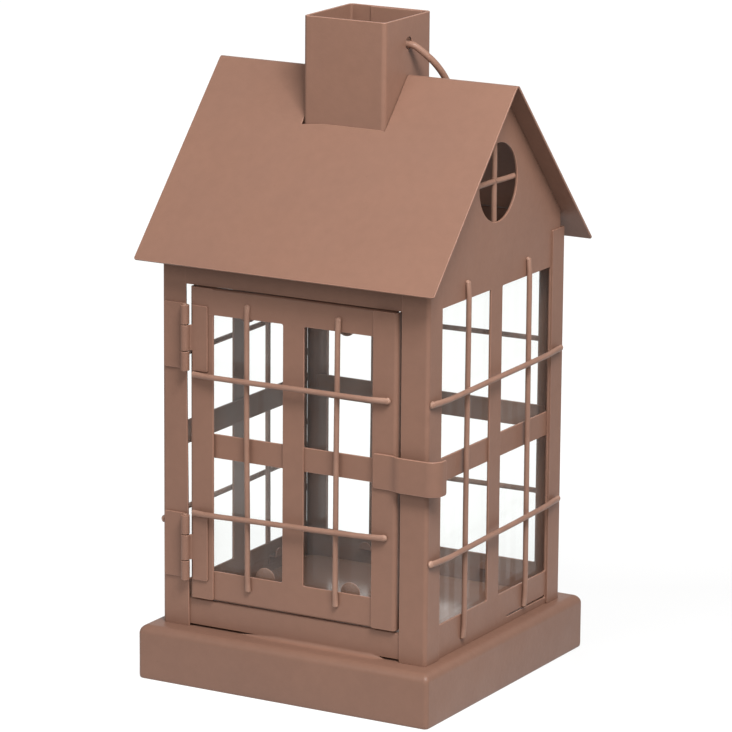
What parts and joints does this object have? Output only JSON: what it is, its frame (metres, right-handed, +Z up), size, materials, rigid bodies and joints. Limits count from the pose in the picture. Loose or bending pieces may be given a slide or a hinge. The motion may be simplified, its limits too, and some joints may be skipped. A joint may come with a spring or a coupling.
{
  "type": "hanging lantern",
  "caption": "Square sheet-metal house lantern with glazed wire-guarded walls, a hinged front door with a spring clip, a gabled roof, an open chimney and a folding ring handle.",
  "frame": {"origin": "centre of the foot of the base, on the plane it stands on", "axes": "+Z up, the door faces -Y, the roof's ridge runs along X"},
  "size_m": [0.122, 0.1196, 0.2408],
  "materials": {
    "paint": "satin",
    "glass": "clear"
  },
  "bodies": {
    "lantern": {"base_pan": "paint", "floor_plate": "paint", "post_front_left": "paint", "post_front_right": "paint", "post_back_left": "paint", "post_back_right": "paint", "front_header": "paint", "front_sill": "paint", "right_wall": "paint", "left_wall": "paint", "back_wall": "paint", "right_cross_rail": "paint", "left_cross_rail": "paint", "back_cross_rail": "paint", "right_wires_vertical": "paint", "right_wires_horizontal": "paint", "left_wires_vertical": "paint", "left_wires_horizontal": "paint", "back_wires_vertical": "paint", "back_wires_horizontal": "paint", "right_glass": "glass", "left_glass": "glass", "back_glass": "glass", "right_glass_tabs": "paint", "left_glass_tabs": "paint", "back_glass_tabs": "paint", "right_gable_bars": "paint", "left_gable_bars": "paint", "roof": "paint", "chimney": "paint", "upper_hinge_post_leaf": "paint", "lower_hinge_post_leaf": "paint", "upper_hinge_pin": "paint", "lower_hinge_pin": "paint"},
    "door": {"upper_hinge_door_leaf": "paint", "lower_hinge_door_leaf": "paint", "door_left_stile": "paint", "door_right_stile": "paint", "door_top_rail": "paint", "door_bottom_rail": "paint", "door_mullion": "paint", "door_cross_rail": "paint", "door_wires_vertical": "paint", "door_wires_horizontal": "paint", "door_glass": "glass", "door_glass_tabs": "paint", "latch_clip": "paint"},
    "bail": {"bail_handle": "paint"}
  },
  "joints": [
    {"name": "door_hinge", "type": "hinge", "parent": "lantern", "child": "door", "pos_m": [-0.0432, -0.0537, 0.0887], "axis": [0, 0, -1], "range_deg": [0, 175]},
    {"name": "bail_pivot", "type": "hinge", "parent": "lantern", "child": "bail", "pos_m": [0, 0, 0.231], "axis": [1, 0, 0], "range_deg": [0, 288]}
  ]
}
